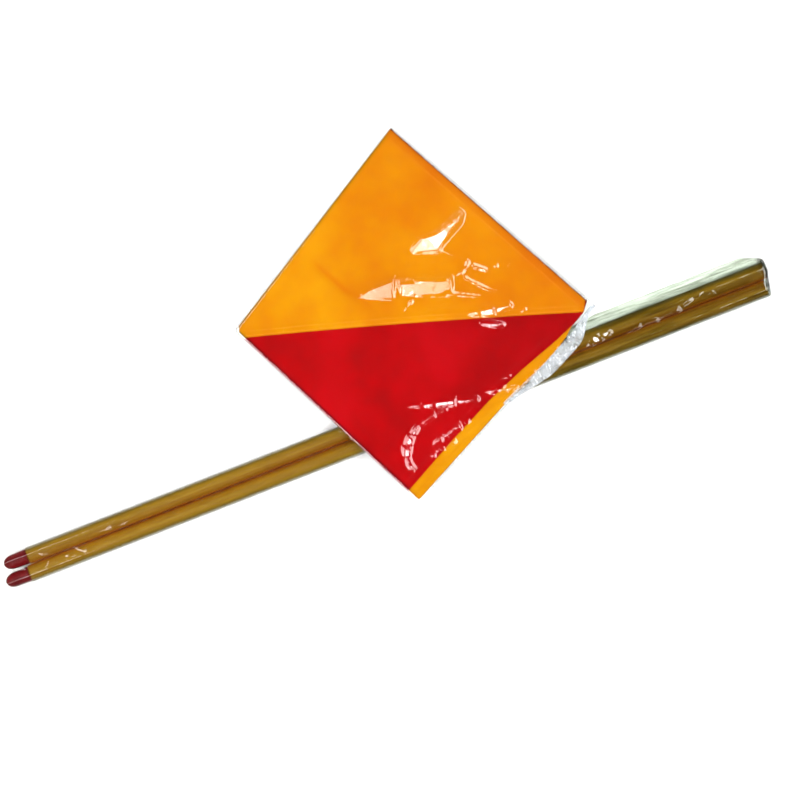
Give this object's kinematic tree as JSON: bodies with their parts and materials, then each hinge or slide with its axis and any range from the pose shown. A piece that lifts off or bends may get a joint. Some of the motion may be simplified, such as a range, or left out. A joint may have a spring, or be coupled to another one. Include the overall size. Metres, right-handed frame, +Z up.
{
  "type": "packed hand signalling flag pair",
  "caption": "Two round wooden staffs with rounded red tips in a clear film sleeve, and square red and yellow flags folded in a clear film bag that leans on them.",
  "frame": {"origin": "on the floor, on the flat underside of the film sleeve, midway between the two staffs and 379 to 383 mm from their plain ends", "axes": "+X along the staffs towards their plain ends, +Z up, +Y towards the far corner of the folded flags"},
  "size_m": [0.7728, 0.3377, 0.0321],
  "materials": {
    "varnished_wood": "satin varnish",
    "red_lacquer": "gloss dipped lacquer",
    "clear_film": "clear film",
    "yellow_cloth": "plain weave",
    "red_cloth": "plain weave"
  },
  "bodies": {
    "staff_sleeve": {"staff_sleeve": "clear_film"},
    "staff_1": {"staff_1": "varnished_wood", "staff_1_tip": "red_lacquer"},
    "staff_2": {"staff_2": "varnished_wood", "staff_2_tip": "red_lacquer"},
    "flag_bag": {"flag_bag": "clear_film"},
    "flag_1": {"flag_1_yellow_panel": "yellow_cloth", "flag_1_red_panel": "red_cloth", "flag_1_pole_pocket": "yellow_cloth"},
    "flag_2": {"flag_2_yellow_panel": "yellow_cloth", "flag_2_red_panel": "red_cloth", "flag_2_pole_pocket": "yellow_cloth"}
  },
  "joints": [
    {"name": "staff_1_pull", "type": "slide", "parent": "staff_sleeve", "child": "staff_1", "axis": [-1, 0, 0], "range_m": [0, 0.775]},
    {"name": "staff_2_pull", "type": "slide", "parent": "staff_sleeve", "child": "staff_2", "axis": [-1, 0, 0], "range_m": [0, 0.775]},
    {"name": "flag_bag_lift", "type": "slide", "parent": "staff_sleeve", "child": "flag_bag", "axis": [0, 0, 1], "range_m": [0, 0.25]},
    {"name": "flag_1_pull", "type": "slide", "parent": "flag_bag", "child": "flag_1", "axis": [0.4508, -0.8905, 0.0613], "range_m": [0, 0.265]},
    {"name": "flag_2_pull", "type": "slide", "parent": "flag_bag", "child": "flag_2", "axis": [0.4508, -0.8905, 0.0613], "range_m": [0, 0.265]}
  ]
}
